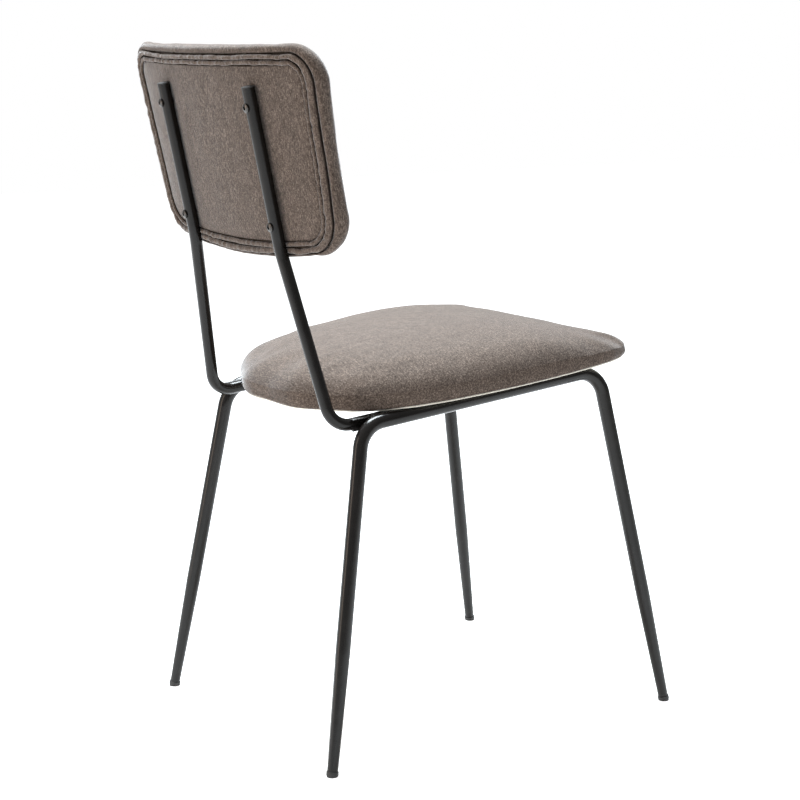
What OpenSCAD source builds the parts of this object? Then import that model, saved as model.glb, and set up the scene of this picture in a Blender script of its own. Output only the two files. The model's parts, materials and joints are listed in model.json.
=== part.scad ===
// Dining chair: two bent-tube side frames, two bent back uprights, an upholstered
// seat and a curved upholstered back. Millimetres, +Z up. The origin is on the floor
// under the middle of the chair. The sitter faces -Y, and +X is the sitter's left.

/* [Frame tubes] */
// Outside diameter of the leg and side rail tube
leg_d = 18; // [16:0.5:20]
// Diameter of a leg at the foot
tip_d = 13; // [12:0.5:15]
// Length of the tapered part of a leg
taper_len = 140; // [100:5:180]
// Outside diameter of the back upright tube
upright_d = 15; // [13:0.5:17]
// Outside diameter of the cross rails under the seat
cross_d = 14; // [12:1:16]
// Wall thickness of every tube
wall = 1.5; // [1.2:0.1:2]
// Centreline radius of the bend between a leg and the side rail
leg_bend_r = 35; // [30:1:45]
// Centreline radius of the lower bend of an upright
upright_bend_r = 28; // [24:1:34]
// Centreline radius of the slight bend of an upright below the back
upright_mid_bend_r = 120; // [80:10:160]

/* [Legs and side rails] */
// Distance between the front feet, centre to centre
front_foot_span = 438; // [420:1:450]
// Distance between the rear feet, centre to centre
rear_foot_span = 403; // [390:1:415]
// Front to back place of the front feet
front_foot_y = -269.5; // [-282:0.5:-258]
// Front to back place of the rear feet
rear_foot_y = 227.5; // [212:0.5:242]
// Distance between the side rails at their front corners
front_corner_span = 343; // [335:1:350]
// Distance between the side rails at their rear corners
rear_corner_span = 325.5; // [320:0.5:330]
// Front to back place of the front corners
front_corner_y = -189.5; // [-198:0.5:-182]
// Front to back place of the rear corners
rear_corner_y = 157; // [152:0.5:162]
// Height of the side rail's centreline at the front corner
front_corner_z = 439.5; // [435:0.5:445]
// Height of the side rail's centreline at the rear corner
rear_corner_z = 405; // [400:0.5:410]

/* [Back uprights] */
// Distance between the uprights behind the back, centre to centre
upright_span = 209; // [200:1:220]
// How far the lower bend's corner lies behind the rear corner, along the rail
upright_behind = 30.5; // [28:0.5:34]
// Length of upright that lies along the side rail, ahead of the rear corner
weld_run = 90; // [80:5:100]
// Front to back place of the slight bend
upright_mid_y = 230; // [224:0.5:235]
// Height of the slight bend
upright_mid_z = 611; // [600:1:620]
// Front to back place of the upright's top
upright_top_y = 268.5; // [262:0.5:275]
// Height of the upright's top
upright_top_z = 796.5; // [785:0.5:805]

/* [Seat] */
// Thickness of the seat's plywood board
seat_board_t = 10; // [9:1:12]
// Height of the seat's top above the side rails' centreline, in the middle
seat_top = 65; // [62:1:68]

/* [Back] */
// Radius of the back's curve, seen from above
back_r = 1130; // [900:10:1400]
// Half width of the back near its top
back_half_top = 223.5; // [216:0.5:230]
// Half width of the back near its bottom
back_half_bottom = 211; // [204:0.5:218]
// Height of the back's top edge above the uprights' slight bend, along the uprights
back_top = 236; // [230:1:245]
// Height of the back's bottom edge, measured in the same way
back_bottom = -9; // [-14:1:-6]
// Thickness of the back in the middle
back_t = 31; // [28:1:36]

/* [Fasteners] */
// Shank diameter of the screws
screw_d = 6; // [5:0.5:6]
// Head diameter of the screws
head_d = 10.5; // [10:0.5:11]
// Height of the lower back screws above the uprights' slight bend
screw_low = 28.5; // [24:0.5:32]
// Height of the upper back screws above the uprights' slight bend
screw_high = 167.5; // [160:0.5:172]

/* [Hidden] */
$fn = 64;

left = 1;
right = -1;
clearance = 0.1;
weld_gap = 0.2;
screw_hole_d = screw_d + 0.6;
head_t = 3.2;
socket_af = 4;
nut_barrel_d = 8.4;
nut_flange_d = 19;
nut_flange_t = 1.2;
nut_lift = 0.06;
cover_t = 1.4;
curve_fn = 360;

frame_colour = [0.07, 0.07, 0.07];
plastic_colour = [0.05, 0.05, 0.05];
fabric_colour = [0.50, 0.46, 0.43];
foam_colour = [0.93, 0.88, 0.68];
ply_colour = [0.78, 0.64, 0.45];
lining_colour = [0.86, 0.83, 0.78];
zinc_colour = [0.72, 0.73, 0.74];

// ---- the seat's plane: its y runs backwards along the side rails, z is square to them
rail_len = norm([front_corner_y - rear_corner_y, front_corner_z - rear_corner_z]);
seat_slope = atan2(front_corner_z - rear_corner_z, rear_corner_y - front_corner_y);
module in_seat_plane() {
    translate([0, rear_corner_y, rear_corner_z]) rotate([-seat_slope, 0, 0]) children();
}
function seat_point(x, y, z = 0) = [
    x,
    rear_corner_y + y * cos(seat_slope) + z * sin(seat_slope),
    rear_corner_z - y * sin(seat_slope) + z * cos(seat_slope)
];
// half the distance between the side rails, at y in the seat's plane
function rail_x(y) =
    rear_corner_span / 2 - y * (front_corner_span - rear_corner_span) / 2 / rail_len;
rail_toe = atan2((front_corner_span - rear_corner_span) / 2, rail_len);

// ---- the back's plane: z runs up along the uprights, y is square to them, backwards
back_lean = atan2(upright_top_y - upright_mid_y, upright_top_z - upright_mid_z);
module in_back_plane() {
    translate([0, upright_mid_y, upright_mid_z]) rotate([-back_lean, 0, 0]) children();
}
// the back's rear face is a cylinder of radius back_r that touches both uprights
curve_y = -sqrt(pow(back_r + upright_d / 2, 2) - pow(upright_span / 2, 2));
upright_turn = asin(upright_span / 2 / (back_r + upright_d / 2));
// a place on an upright's line of contact: y points out of the back's rear face
module at_back_screw(side, height) {
    in_back_plane() translate([0, curve_y, height])
        rotate([0, 0, -side * upright_turn]) translate([0, back_r, 0]) children();
}
module at_back_screws() {
    for (side = [left, right], height = [screw_low, screw_high])
        at_back_screw(side, height) children();
}

// ---- tubes
function unit(v) = v / norm(v);
function turn(a, b, c) = acos(unit(b - a) * unit(c - b));
function bend_setback(a, b, c, r) = r * tan(turn(a, b, c) / 2);
function square_to(d) = unit(cross(abs(d.x) < 0.7 ? [1, 0, 0] : [0, 1, 0], d));

module place(o, x, y, z) {
    multmatrix([
        [x.x, y.x, z.x, o.x],
        [x.y, y.y, z.y, o.y],
        [x.z, y.z, z.z, o.z],
        [0, 0, 0, 1]
    ]) children();
}
// puts the origin at a with +Z towards b
module from_to(a, b) {
    d = unit(b - a);
    place(a, square_to(d), cross(d, square_to(d)), d) children();
}
module tube_section(d) {
    difference() {
        circle(d = d);
        circle(d = d - 2 * wall);
    }
}
// a straight length of tube up +Z from the origin, d0 across at its start and d1 at its
// end; where they differ, taper_len of it is tapered
module straight_tube(length, d0, d1) {
    low = d0 > d1 ? length - taper_len : taper_len;
    r = max(d0, d1) / 2;
    if (d0 == d1)
        linear_extrude(length) tube_section(d0);
    else
        rotate_extrude() polygon([
            [d0 / 2 - wall, 0], [d0 / 2, 0], [r, low], [d1 / 2, length],
            [d1 / 2 - wall, length], [r - wall, low]
        ]);
}
module tube_bend(a, b, c, r, d) {
    before = unit(b - a);
    inward = unit(unit(c - b) - before * (before * unit(c - b)));
    start = b - before * bend_setback(a, b, c, r);
    place(start + inward * r, -inward, before, cross(-inward, before))
        rotate_extrude(angle = turn(a, b, c)) translate([r, 0]) tube_section(d);
}
// straight lengths stop a hair short of the bends, and a ring inside the wall joins them
bend_gap = 0.02;
bridge_len = 1;
bridge_cover = 0.35;
module tube_bridge(a, b, d) {
    from_to(a, b) linear_extrude(bridge_len, center = true) difference() {
        circle(d = d - 2 * bridge_cover);
        circle(d = d - 2 * (wall - bridge_cover));
    }
}
// a tube through points p: r[i] is the bend radius at p[i] and d[i] the diameter there
module tube(p, r, d) {
    last = len(p) - 1;
    back = [for (i = [0:last])
        i == 0 || i == last ? 0 : bend_setback(p[i - 1], p[i], p[i + 1], r[i]) + bend_gap];
    union() {
        for (i = [0:last - 1]) {
            along = unit(p[i + 1] - p[i]);
            from_to(p[i] + along * back[i], p[i + 1])
                straight_tube(norm(p[i + 1] - p[i]) - back[i] - back[i + 1], d[i], d[i + 1]);
        }
        for (i = [1:last - 1]) {
            tube_bend(p[i - 1], p[i], p[i + 1], r[i], d[i]);
            tube_bridge(p[i] + unit(p[i - 1] - p[i]) * back[i], p[i], d[i]);
            tube_bridge(p[i] + unit(p[i + 1] - p[i]) * back[i], p[i], d[i]);
        }
    }
}

// ---- points of the frame, for one side
glide_h = 6;
function front_foot(side) = [side * front_foot_span / 2, front_foot_y, 0];
function rear_foot(side) = [side * rear_foot_span / 2, rear_foot_y, 0];
function front_corner(side) = [side * front_corner_span / 2, front_corner_y, front_corner_z];
function rear_corner(side) = [side * rear_corner_span / 2, rear_corner_y, rear_corner_z];
upright_gap = (leg_d + upright_d) / 2 + weld_gap;
function upright_foot(side) =
    seat_point(side * (rail_x(-weld_run) - upright_gap), -weld_run);
function upright_low(side) =
    seat_point(side * (rail_x(upright_behind) - upright_gap), upright_behind);
function upright_mid(side) = [side * upright_span / 2, upright_mid_y, upright_mid_z];
function upright_top(side) = [side * upright_span / 2, upright_top_y, upright_top_z];

module side_frame(side) {
    ff = front_foot(side);
    fc = front_corner(side);
    rc = rear_corner(side);
    rf = rear_foot(side);
    tube(
        [ff + unit(fc - ff) * glide_h, fc, rc, rf + unit(rc - rf) * glide_h],
        [0, leg_bend_r, leg_bend_r, 0],
        [tip_d, leg_d, leg_d, tip_d]
    );
}
module back_upright(side) {
    difference() {
        tube(
            [upright_foot(side), upright_low(side), upright_mid(side), upright_top(side)],
            [0, upright_bend_r, upright_mid_bend_r, 0],
            [upright_d, upright_d, upright_d, upright_d]
        );
        for (height = [screw_low, screw_high])
            at_back_screw(side, height)
                rotate([-90, 0, 0]) translate([0, 0, -5]) cylinder(d = screw_hole_d, h = 30);
    }
}

// ---- cross rails, their ends shaped to the side rails
front_cross_y = -300;
rear_cross_y = -118;
module rail_solid(side) {
    from_to(rear_corner(side), front_corner(side)) cylinder(d = leg_d, h = rail_len);
}
module cross_rail(y) {
    half = rail_x(y);
    difference() {
        in_seat_plane() translate([-half, y, 0]) rotate([0, 90, 0])
            linear_extrude(2 * half) tube_section(cross_d);
        rail_solid(left);
        rail_solid(right);
    }
}

// ---- tabs that carry the seat, welded to the tops of the side rails' inner sides
tab_w = 34;
tab_len = 36;
tab_t = 3;
tab_top = leg_d / 2;
tab_hole_in = 26;
tab_ys = [-155, -262];
module at_seat_screws() {
    for (side = [left, right], y = tab_ys)
        in_seat_plane() translate([side * (rail_x(y) - tab_hole_in), y, 0]) children();
}
module mounting_tab(side, y) {
    difference() {
        in_seat_plane() translate([side * (rail_x(y) - tab_w / 2 - 4), y, tab_top - tab_t / 2])
            cube([tab_w, tab_len, tab_t], center = true);
        rail_solid(side);
        in_seat_plane() translate([side * (rail_x(y) - tab_hole_in), y, 0])
            cylinder(d = screw_hole_d, h = 20);
    }
}

// ---- weld beads: along the grooves between rail and upright, and round the cross rails
bead_d = 6;
module groove_bead(side, level) {
    y = upright_behind;
    run = upright_behind + weld_run - 22;
    in_seat_plane() translate([side * rail_x(y), y, 0]) rotate([0, 0, side * rail_toe])
        rotate([90, 0, 0]) translate([0, 0, 22]) linear_extrude(run - 8) difference() {
            translate([-side * leg_d / 2, level * 4.5]) circle(d = bead_d);
            circle(d = leg_d);
            translate([-side * upright_gap, 0]) circle(d = upright_d);
        }
}
module cross_bead(side, y) {
    difference() {
        in_seat_plane() translate([side * (rail_x(y) - leg_d / 2 - 1.5), y, 0])
            rotate([0, 90, 0]) linear_extrude(5, center = true) difference() {
                circle(d = cross_d + 3.2);
                circle(d = cross_d);
            }
        rail_solid(side);
    }
}

// ---- feet and end caps
module glide(foot, corner) {
    intersection() {
        from_to(foot, corner) union() {
            translate([0, 0, -4]) cylinder(d1 = tip_d - 2, d2 = tip_d + 1.6, h = 6);
            translate([0, 0, 2]) cylinder(d = tip_d + 1.6, h = glide_h - 2);
            translate([0, 0, glide_h]) cylinder(d = tip_d - 2 * wall - 2 * clearance, h = 16);
        }
        translate([foot.x, foot.y, 25]) cube(50, center = true);
    }
}
module upright_cap(side) {
    dome_r = 24;
    lip_t = 1.2;
    top = upright_top(side);
    from_to(top, top + unit(top - upright_mid(side))) union() {
        translate([0, 0, -12]) cylinder(d = upright_d - 2 * wall - 2 * clearance, h = 12);
        cylinder(d = upright_d, h = lip_t);
        intersection() {
            translate([0, 0, lip_t]) cylinder(d = upright_d - 0.6, h = 3);
            translate([0, 0, lip_t + 1 - dome_r]) sphere(r = dome_r, $fn = 128);
        }
    }
}

// ---- fasteners: the screw points down -Z from the underside of its head at z = 0
module screw(length) {
    dome_r = 9;
    difference() {
        union() {
            translate([0, 0, -length]) cylinder(d = screw_d - 2 * clearance, h = length);
            intersection() {
                cylinder(d = head_d, h = head_t);
                translate([0, 0, head_t - dome_r]) sphere(r = dome_r);
            }
        }
        translate([0, 0, head_t - 2]) cylinder(d = socket_af / cos(30), h = 3, $fn = 6);
    }
}
// the nut's flange starts at z = 0 and its barrel points down -Z
module t_nut(barrel_len) {
    difference() {
        union() {
            cylinder(d = nut_flange_d, h = nut_flange_t);
            translate([0, 0, -barrel_len]) cylinder(d = nut_barrel_d, h = barrel_len);
        }
        translate([0, 0, -barrel_len]) cylinder(d = screw_d, h = barrel_len + nut_flange_t);
    }
}

// ---- seat outline: a smooth closed curve, round behind and wide in front
seat_half = [
    [0, 35], [54, 34], [100, 16], [144, -10], [171, -48], [190, -101], [201, -179],
    [203, -256], [200, -320], [191, -369], [168, -398], [115, -392], [0, -390]
];
seat_outline = concat(
    seat_half,
    [for (i = [len(seat_half) - 2:-1:1]) [-seat_half[i].x, seat_half[i].y]]
);
steps = 3;
function wrap(i, n) = (i + n) % n;
function spline(a, b, c, d, t) =
    0.5 * (2 * b + (c - a) * t + (2 * a - 5 * b + 4 * c - d) * t * t
           + (3 * b - a - 3 * c + d) * t * t * t);
function smooth(p) = [
    for (i = [0:len(p) - 1], k = [0:steps - 1])
        spline(p[wrap(i - 1, len(p))], p[i], p[wrap(i + 1, len(p))], p[wrap(i + 2, len(p))],
               k / steps)
];
// moves a clockwise outline inwards by d
function inset(p, d) = [
    for (i = [0:len(p) - 1])
        let (t = unit(p[wrap(i + 1, len(p))] - p[wrap(i - 1, len(p))])) p[i] + d * [t.y, -t.x]
];
module seat_slice(z, d, t = 0.5) {
    translate([0, 0, z]) linear_extrude(t) polygon(inset(smooth(seat_outline), d));
}
lining_z = leg_d / 2 + 0.3;
lining_t = 1.2;
hem_z = lining_z + lining_t;
board_z = hem_z + cover_t;
// the hem's inner edge, as a share of the seat's outline
hem_size = 0.86;
board_inset = 7.6;
// the pad's outline shrunk towards its middle, for the rings of the crown
seat_middle = [0, -190];
function seat_ring(size) = [for (p = smooth(seat_outline)) seat_middle + size * (p - seat_middle)];
// how far the crown is lowered at p: towards the front, and more at its corners
function front_drop(p) = let (
    f = min(max((-273 - p.y) / 140, 0), 1)
) f * f * (3 - 2 * f) * (0.08 + 0.46 * pow(p.x / 200, 2));
// a ring of the pad: its outer height above the hem, lowered at the front, then moved by lift
function raised(outline, z, lift) = [
    for (p = outline) [p.x, p.y, hem_z + z * (1 - front_drop(p)) + lift]
];
// the pad's rings from the fabric's hem up to the crown, shrunk by d all round
crown = seat_top - hem_z;
line = smooth(seat_outline);
sides = len(line);
function pad_rings(d) = [
    raised(inset(line, 6 + d), 0, d),
    raised(inset(line, 2 + d), 3, d),
    raised(inset(line, d), 8, d / 2),
    raised(inset(line, d), 20, 0),
    raised(inset(line, 3 + d), crown - 28, -d),
    raised(inset(line, 9 + d), crown - 19.5, -d),
    raised(inset(line, 20 + d), crown - 11.5, -d),
    raised(seat_ring(0.73), crown - 5, -d),
    raised(seat_ring(0.5), crown - 2.3, -d),
    raised(seat_ring(0.25), crown - 0.6, -d)
];
function crown_point(d) = [0, seat_middle.y, hem_z + crown - d];
// two triangles for each step of each band between neighbouring rings
function bands(count, flip) = [
    for (r = [0:count - 2], i = [0:sides - 1], half = [0, 1])
        let (a = r * sides + i, b = r * sides + (i + 1) % sides,
             t = half == 0 ? [a, b + sides, a + sides] : [a, b, b + sides])
            flip ? [t[2], t[1], t[0]] : t
];
function fan(start, tip, flip) = [
    for (i = [0:sides - 1]) let (a = start + i, b = start + (i + 1) % sides)
        flip ? [b, a, tip] : [a, b, tip]
];
// the pad as a solid, shrunk by d all round
module seat_pad(d) {
    rings = pad_rings(d);
    count = len(rings);
    polyhedron(
        points = concat([for (r = rings) each r], [crown_point(d)]),
        faces = concat([[for (i = [sides - 1:-1:0]) i]], bands(count, false),
                       fan((count - 1) * sides, count * sides, false))
    );
}
// the fabric over the pad, turned under as far as the hem and open below
module seat_skin() {
    rings = concat(
        [for (i = [len(pad_rings(0)) - 1:-1:0]) pad_rings(0)[i]],
        [raised(seat_ring(hem_size), 0, 0), raised(seat_ring(hem_size), 0, cover_t)],
        pad_rings(cover_t)
    );
    count = len(rings);
    polyhedron(
        points = concat([for (r = rings) each r], [crown_point(0), crown_point(cover_t)]),
        faces = concat(fan(0, count * sides, false), bands(count, true),
                       fan((count - 1) * sides, count * sides + 1, true))
    );
}
module seat_t_nut_space() {
    at_seat_screws() translate([0, 0, board_z + seat_board_t - 0.5])
        cylinder(d = nut_flange_d + 1, h = nut_flange_t + 1.5);
}

// ---- back outline, seen from behind: a tapered quadrilateral with round corners
corner_steps = 8;
edge_steps = 8;
function arc(c, r, from) = [
    for (i = [0:corner_steps]) let (a = from - 90 * i / corner_steps) c + r * [cos(a), sin(a)]
];
// sides, top and bottom are how far in from the back's largest outline each edge lies
function back_outline(sides, top, bottom) =
    let (
        wt = back_half_top - sides,
        wb = back_half_bottom - sides,
        zt = back_top - top,
        zb = back_bottom + bottom,
        rt = max(43 - top, 12),
        rb = max(52 - bottom, 12),
        span = 2 * (wb - rb),
        bulge = 9 - 0.15 * bottom
    )
    concat(
        arc([-wt + rt, zt - rt], rt, 180),
        arc([wt - rt, zt - rt], rt, 90),
        arc([wb - rb, zb + rb], rb, 0),
        [for (i = [1:edge_steps - 1])
            let (x = wb - rb - span * i / edge_steps)
            [x, zb - bulge * (1 - pow(2 * x / span, 2))]],
        arc([-wb + rb, zb + rb], rb, -90)
    );
// a curved layer of the back, from depth q0 to q1 ahead of its rear face
module back_layer(q0, q1, outline) {
    in_back_plane() intersection() {
        translate([0, curve_y + back_r + 20, 0]) rotate([90, 0, 0])
            linear_extrude(120) polygon(outline);
        translate([0, curve_y, back_bottom - 20]) linear_extrude(back_top - back_bottom + 40)
            difference() {
                circle(r = back_r - q0, $fn = curve_fn);
                circle(r = back_r - q1, $fn = curve_fn);
            }
    }
}
panel_t = 3;
welt_proud = 2.5;
back_board_q = panel_t + cover_t;
back_board_t = 10;
module back_pad(d) {
    back_layer(panel_t + d, 6 + d, back_outline(3 + d, 3 + d, 2 + d));
    back_layer(6 + d, 14 - d, back_outline(d, d, d));
    back_layer(14 - d, 21 - d, back_outline(5 + d, 5 + d, 5 + d));
    back_layer(21 - d, 26 - d, back_outline(15 + d, 15 + d, 15 + d));
    back_layer(26 - d, back_t - d, back_outline(40 + d, 40 + d, 40 + d));
}
module back_ring(q0, q1, outer, inner) {
    difference() {
        back_layer(q0, q1, outer);
        back_layer(q0 - 1, q1 + 1, inner);
    }
}
// outlines of the seams round the back's rear face, from the edge inwards
welt_outer_edge = back_outline(9.3, 10.5, 5.5);
welt_seam = back_outline(21.8, 17, 13);
welt_inner_edge = back_outline(28.2, 23.5, 19.5);
// the room the uprights take where they press the welts flat
module upright_room() {
    room_d = upright_d + 1.2;
    for (side = [left, right]) {
        from_to(upright_mid(side), upright_low(side))
            translate([0, 0, -4]) cylinder(d = room_d, h = 60);
        from_to(upright_mid(side), upright_top(side))
            translate([0, 0, -4]) cylinder(d = room_d, h = 60);
    }
}
module back_screw_holes(d, depth) {
    at_back_screws() rotate([90, 0, 0]) translate([0, 0, -1]) cylinder(d = d, h = depth + 1);
}

// ---- sub-parts
module left_side_frame() { color(frame_colour) side_frame(left); }
module right_side_frame() { color(frame_colour) side_frame(right); }
module left_back_upright() { color(frame_colour) back_upright(left); }
module right_back_upright() { color(frame_colour) back_upright(right); }
module front_cross_rail() { color(frame_colour) cross_rail(front_cross_y); }
module rear_cross_rail() { color(frame_colour) cross_rail(rear_cross_y); }
module seat_mounting_tabs() {
    color(frame_colour) for (side = [left, right], y = tab_ys) mounting_tab(side, y);
}
module weld_beads() {
    color(frame_colour) {
        for (side = [left, right], level = [-1, 1]) groove_bead(side, level);
        for (side = [left, right], y = [front_cross_y, rear_cross_y]) cross_bead(side, y);
    }
}
module front_left_glide() { color(plastic_colour) glide(front_foot(left), front_corner(left)); }
module front_right_glide() { color(plastic_colour) glide(front_foot(right), front_corner(right)); }
module rear_left_glide() { color(plastic_colour) glide(rear_foot(left), rear_corner(left)); }
module rear_right_glide() { color(plastic_colour) glide(rear_foot(right), rear_corner(right)); }
module left_upright_cap() { color(plastic_colour) upright_cap(left); }
module right_upright_cap() { color(plastic_colour) upright_cap(right); }
module seat_board() {
    color(ply_colour) difference() {
        in_seat_plane() seat_slice(board_z, board_inset, seat_board_t);
        at_seat_screws() translate([0, 0, board_z - 1])
            cylinder(d = nut_barrel_d + 2 * clearance, h = seat_board_t + 2);
    }
}
module seat_foam() {
    color(foam_colour) difference() {
        in_seat_plane() seat_pad(cover_t);
        in_seat_plane() seat_slice(board_z - 1, board_inset, seat_board_t + 1);
        seat_t_nut_space();
    }
}
module seat_cover() { color(fabric_colour) in_seat_plane() seat_skin(); }
module seat_dust_cover() {
    color(lining_colour) difference() {
        in_seat_plane() seat_slice(lining_z, board_inset + 2, lining_t);
        at_seat_screws() translate([0, 0, lining_z - 1]) cylinder(d = screw_hole_d, h = 5);
    }
}
staple_inset = 16;
module seat_staples() {
    p = inset(smooth(seat_outline), staple_inset);
    color(zinc_colour) in_seat_plane()
        for (i = [0:2:len(p) - 1]) {
            t = p[wrap(i + 1, len(p))] - p[wrap(i - 1, len(p))];
            if (abs(abs(p[i].x) - rail_x(p[i].y)) > 16)
                translate([p[i].x, p[i].y, lining_z - 0.35]) rotate([0, 0, atan2(t.y, t.x)])
                    cube([10, 1.2, 0.7], center = true);
        }
}
module seat_t_nuts() {
    color(zinc_colour) at_seat_screws() translate([0, 0, board_z + seat_board_t])
        t_nut(seat_board_t - 1);
}
module seat_screws() {
    color(zinc_colour) at_seat_screws() translate([0, 0, tab_top - tab_t])
        mirror([0, 0, 1]) screw(tab_t + 14);
}
module back_board() {
    color(ply_colour) difference() {
        back_layer(back_board_q, back_board_q + back_board_t, back_outline(12, 12, 12));
        back_screw_holes(nut_barrel_d + 2 * clearance, 40);
    }
}
module back_foam() {
    color(foam_colour) difference() {
        back_pad(cover_t);
        back_layer(back_board_q - 1, back_board_q + back_board_t, back_outline(12, 12, 12));
        back_screw_holes(nut_flange_d + 1, back_board_q + back_board_t + nut_flange_t + 1);
    }
}
module back_cover() {
    color(fabric_colour) difference() {
        back_pad(0);
        back_pad(cover_t);
        back_layer(panel_t - 1, back_board_q + 0.1, back_outline(38, 33, 29));
    }
}
module back_rear_panel() {
    color(fabric_colour) difference() {
        back_layer(0, panel_t, welt_inner_edge);
        back_screw_holes(screw_hole_d, 40);
    }
}
module back_inner_welt() {
    color(fabric_colour) difference() {
        back_ring(-welt_proud, panel_t, welt_seam, welt_inner_edge);
        upright_room();
    }
}
module back_outer_welt() {
    color(fabric_colour) difference() {
        back_ring(-welt_proud, panel_t, welt_outer_edge, welt_seam);
        upright_room();
    }
}
module back_t_nuts() {
    color(zinc_colour) at_back_screws() rotate([90, 0, 0])
        translate([0, 0, back_board_q + back_board_t + nut_lift]) t_nut(back_board_t - 1);
}
module back_screws() {
    color(zinc_colour) at_back_screws() translate([0, upright_d, 0]) rotate([-90, 0, 0])
        screw(upright_d + back_board_q + back_board_t + 2);
}

left_side_frame();
right_side_frame();
left_back_upright();
right_back_upright();
front_cross_rail();
rear_cross_rail();
seat_mounting_tabs();
weld_beads();
front_left_glide();
front_right_glide();
rear_left_glide();
rear_right_glide();
left_upright_cap();
right_upright_cap();
seat_board();
seat_foam();
seat_cover();
seat_dust_cover();
seat_staples();
seat_t_nuts();
seat_screws();
back_board();
back_foam();
back_cover();
back_rear_panel();
back_inner_welt();
back_outer_welt();
back_t_nuts();
back_screws();
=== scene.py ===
"""Looks of the dining chair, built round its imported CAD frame.

Upholstery is shaped here in two working planes, in millimetres: the seat's plane, whose y
runs backwards along the side rails, and the back's plane, whose z runs up the uprights.
Everything is turned into the row frame, in metres, before it becomes a mesh.
"""

import json
import math

import bmesh
import bpy
import numpy as np
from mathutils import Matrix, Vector, noise


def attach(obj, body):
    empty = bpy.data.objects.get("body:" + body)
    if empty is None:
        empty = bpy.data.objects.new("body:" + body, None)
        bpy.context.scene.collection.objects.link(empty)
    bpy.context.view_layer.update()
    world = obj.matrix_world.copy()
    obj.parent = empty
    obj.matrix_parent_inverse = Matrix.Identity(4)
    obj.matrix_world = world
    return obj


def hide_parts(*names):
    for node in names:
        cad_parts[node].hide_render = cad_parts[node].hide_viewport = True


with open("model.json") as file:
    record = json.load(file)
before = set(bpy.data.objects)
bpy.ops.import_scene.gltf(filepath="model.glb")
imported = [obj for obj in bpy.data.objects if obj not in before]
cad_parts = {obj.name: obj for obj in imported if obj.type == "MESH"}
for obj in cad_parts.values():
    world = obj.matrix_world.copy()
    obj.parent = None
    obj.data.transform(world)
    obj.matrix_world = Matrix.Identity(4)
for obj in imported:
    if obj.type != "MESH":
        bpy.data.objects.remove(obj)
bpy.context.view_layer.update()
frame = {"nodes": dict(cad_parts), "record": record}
scene = bpy.context.scene
MM = 0.001

# ---------------------------------------------------------------- working planes
# the side rail's centreline runs between these corners, which the tube rounds off
RAIL_REAR_Y, RAIL_REAR_Z = 157.0, 405.0
RAIL_FRONT_Y, RAIL_FRONT_Z = -189.5, 439.5
SEAT_ORIGIN = np.array([0.0, RAIL_REAR_Y, RAIL_REAR_Z])
SEAT_SLOPE = math.atan2(RAIL_FRONT_Z - RAIL_REAR_Z, RAIL_REAR_Y - RAIL_FRONT_Y)
# the left upright's centreline: its lower corner, its slight bend and its tip
UPRIGHT_X = 104.5
UPRIGHT_R = 7.5
UPRIGHT_LOW = np.array([144.5, 187.3, 402.0])
UPRIGHT_MID = np.array([UPRIGHT_X, 230.0, 611.0])
UPRIGHT_TIP = np.array([UPRIGHT_X, 268.5, 796.5])
BACK_ORIGIN = UPRIGHT_MID * [0, 1, 1]
BACK_LEAN = math.atan2(UPRIGHT_TIP[1] - UPRIGHT_MID[1], UPRIGHT_TIP[2] - UPRIGHT_MID[2])
# radius of the back's curved rear face, and where its centre lies
BACK_R = 1130.0
CURVE_Y = -math.sqrt((BACK_R + UPRIGHT_R) ** 2 - UPRIGHT_X**2)


def to_row(p, origin, angle):
    """From a working plane in millimetres to the row frame in metres."""
    p = np.asarray(p, float)
    c, s = math.cos(angle), math.sin(angle)
    y, z = p[..., 1], p[..., 2]
    return MM * (origin + np.stack([p[..., 0], y * c + z * s, z * c - y * s], -1))


def from_row(p, origin, angle):
    """From the row frame back to a working plane."""
    p = np.asarray(p, float) / MM - origin
    c, s = math.cos(angle), math.sin(angle)
    y, z = p[..., 1], p[..., 2]
    return np.stack([p[..., 0], y * c - z * s, y * s + z * c], -1)


def seat_row(p):
    return to_row(p, SEAT_ORIGIN, SEAT_SLOPE)


def back_row(x, t, q):
    """A place on the back: x across, t up, q deep ahead of the curved rear face."""
    x, t, q = np.broadcast_arrays(x, t, q)
    y = CURVE_Y + np.sqrt((BACK_R - q) ** 2 - x**2)
    return to_row(np.stack([x, y, t], -1), BACK_ORIGIN, BACK_LEAN)


def back_depth(p):
    """x, t and q of points in the row frame."""
    b = from_row(p, BACK_ORIGIN, BACK_LEAN)
    return b[..., 0], b[..., 2], BACK_R - np.hypot(b[..., 0], b[..., 1] - CURVE_Y)


# ---------------------------------------------------------------- outlines
# the back: half widths, heights above its origin and corner radii
BACK_HALF_TOP, BACK_HALF_BOTTOM = 223.5, 211
BACK_TOP, BACK_BOTTOM = 236, -9
BACK_R_TOP, BACK_R_BOTTOM = 43, 52
# seams round the back's rear face: how far in from its sides, its top and its bottom
SEAM_OUT = (9.3, 10.5, 5.5)
SEAM_MID = (21.8, 17, 13)
SEAM_IN = (28.2, 23.5, 19.5)
# the rear panel's edge, under the inner seam
PANEL_EDGE = (26, 21.3, 17.3)
# left half of the seat's outline, from the middle of its rear edge to the middle of its front
SEAT_HALF = [
    (0, 35), (54, 34), (100, 16), (144, -10), (171, -48), (190, -101), (201, -179),
    (203, -256), (200, -320), (191, -369), (168, -398), (115, -392), (0, -390),
]


def resampled(p, n):
    """n points at even distances round a closed line."""
    closed = np.vstack([p, p[:1]])
    run = np.concatenate([[0], np.cumsum(np.linalg.norm(np.diff(closed, axis=0), axis=1))])
    at = np.linspace(0, run[-1], n, endpoint=False)
    return np.stack([np.interp(at, run, closed[:, k]) for k in range(p.shape[1])], -1)


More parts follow.
